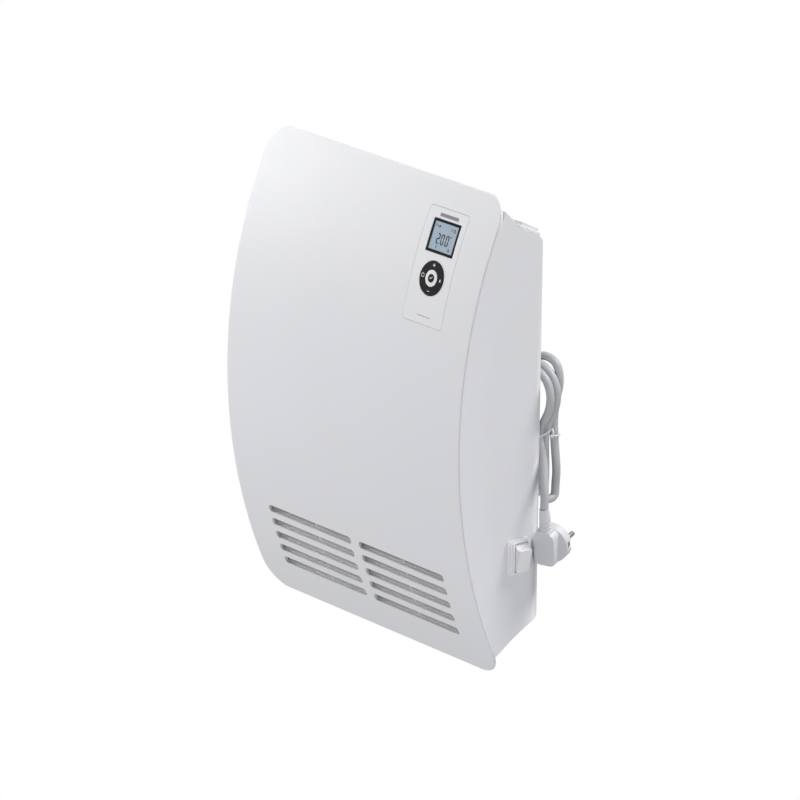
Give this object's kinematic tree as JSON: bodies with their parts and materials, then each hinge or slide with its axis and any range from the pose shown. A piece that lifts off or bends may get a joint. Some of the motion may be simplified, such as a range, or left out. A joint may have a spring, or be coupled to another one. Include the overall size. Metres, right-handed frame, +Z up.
{
  "type": "wall-mounted fan convector heater",
  "caption": "Wall-mounted fan heater with a bowed front panel, slotted air outlet, digital control plate, side rocker switch and a tied mains cord with an angled plug.",
  "frame": {"origin": "centre of the wall bracket's four screw holes, on the wall plane", "axes": "+Z up, -Y out of the wall to the front, +X to the right of someone facing the heater"},
  "size_m": [0.3689, 0.142, 0.47],
  "materials": {
    "panel_white": "satin white moulding",
    "casing_white": "satin white moulding",
    "louvre_white": "matt white moulding",
    "cover_grey": "matt grey moulding",
    "bracket_steel": "zinc-plated sheet",
    "plate_white": "fine satin white film",
    "display_black": "gloss black print",
    "display_glass": "blue-grey liquid crystal window",
    "key_black": "satin black key",
    "key_white": "satin white key",
    "key_rubber": "silicone mat",
    "board_green": "green solder mask",
    "spring_steel": "bright steel",
    "switch_white": "soft white switch moulding",
    "block_black": "matt black moulding",
    "fan_aluminium": "plain rolled aluminium",
    "shaft_steel": "ground steel",
    "core_steel": "stacked steel laminations",
    "coil_copper": "enamelled copper winding",
    "bearing_brass": "sintered bronze",
    "bearing_rubber": "rubber bearing seat",
    "duct_steel": "galvanised sheet",
    "mica_board": "mica board",
    "heating_wire": "oxidised heating wire",
    "relay_blue": "moulded component cases",
    "terminal_white": "terminal moulding",
    "gland_white": "white strain relief",
    "cord_white": "smooth white cord sheath",
    "tie_white": "white coated wire",
    "plug_white": "soft white plug moulding",
    "pin_nickel": "nickel-plated brass"
  },
  "bodies": {
    "housing": {"front_panel": "panel_white", "rear_casing": "casing_white", "inlet_grille": "casing_white", "outlet_louvre": "louvre_white", "rear_cover": "cover_grey", "wall_bracket": "bracket_steel", "control_plate": "plate_white", "display_frame": "display_black", "display_glass": "display_glass", "control_board": "board_green", "dome_switches": "spring_steel", "switch_bezel": "switch_white", "switch_pin": "spring_steel", "switch_block": "block_black", "motor_stack": "core_steel", "motor_coil": "coil_copper", "bearing_left": "bearing_brass", "bearing_right": "bearing_rubber", "air_duct": "duct_steel", "heater_frame": "mica_board", "heater_wires": "heating_wire", "thermal_cutout": "block_black", "room_sensor": "block_black", "power_board": "board_green", "power_parts": "relay_blue", "board_posts": "cover_grey", "board_screws": "spring_steel", "terminal_block": "terminal_white", "cord_gland": "gland_white", "cord_lead": "cord_white", "cord_tail": "cord_white", "cord_hank": "cord_white", "twist_tie": "tie_white", "plug_body": "plug_white", "plug_neck": "plug_white", "plug_pins": "pin_nickel", "plug_contacts": "pin_nickel"},
    "fan": {"fan_drum": "fan_aluminium", "fan_shaft": "shaft_steel", "motor_rotor": "core_steel"},
    "rocker": {"switch_rocker": "switch_white"},
    "ring_mat": {"key_carrier": "key_rubber"},
    "ring": {"key_ring": "key_black"},
    "okay": {"okay_key": "key_white", "okay_dot": "key_black"}
  },
  "joints": [
    {"name": "fan_spin", "type": "hinge", "parent": "housing", "child": "fan", "pos_m": [0, -0.082, -0.062], "axis": [1, 0, 0], "continuous": true},
    {"name": "rocker_switch", "type": "hinge", "parent": "housing", "child": "rocker", "pos_m": [0.1655, -0.062, -0.1195], "axis": [0, 1, 0], "range_deg": [-28, 0]},
    {"name": "ring_up_down", "type": "hinge", "parent": "housing", "child": "ring_mat", "pos_m": [0.1055, -0.11475, 0.14798], "axis": [1, 0, 0], "range_deg": [-1.6, 1.6], "stiffness_Nm_per_rad": 0.5},
    {"name": "ring_left_right", "type": "hinge", "parent": "ring_mat", "child": "ring", "pos_m": [0.1055, -0.11475, 0.14798], "axis": [0, 0.2915, 0.9566], "range_deg": [-1.6, 1.6], "stiffness_Nm_per_rad": 0.5},
    {"name": "okay_press", "type": "slide", "parent": "housing", "child": "okay", "axis": [0, 0.9566, -0.2915], "range_m": [0, 0.0006], "stiffness_N_per_m": 1500}
  ]
}
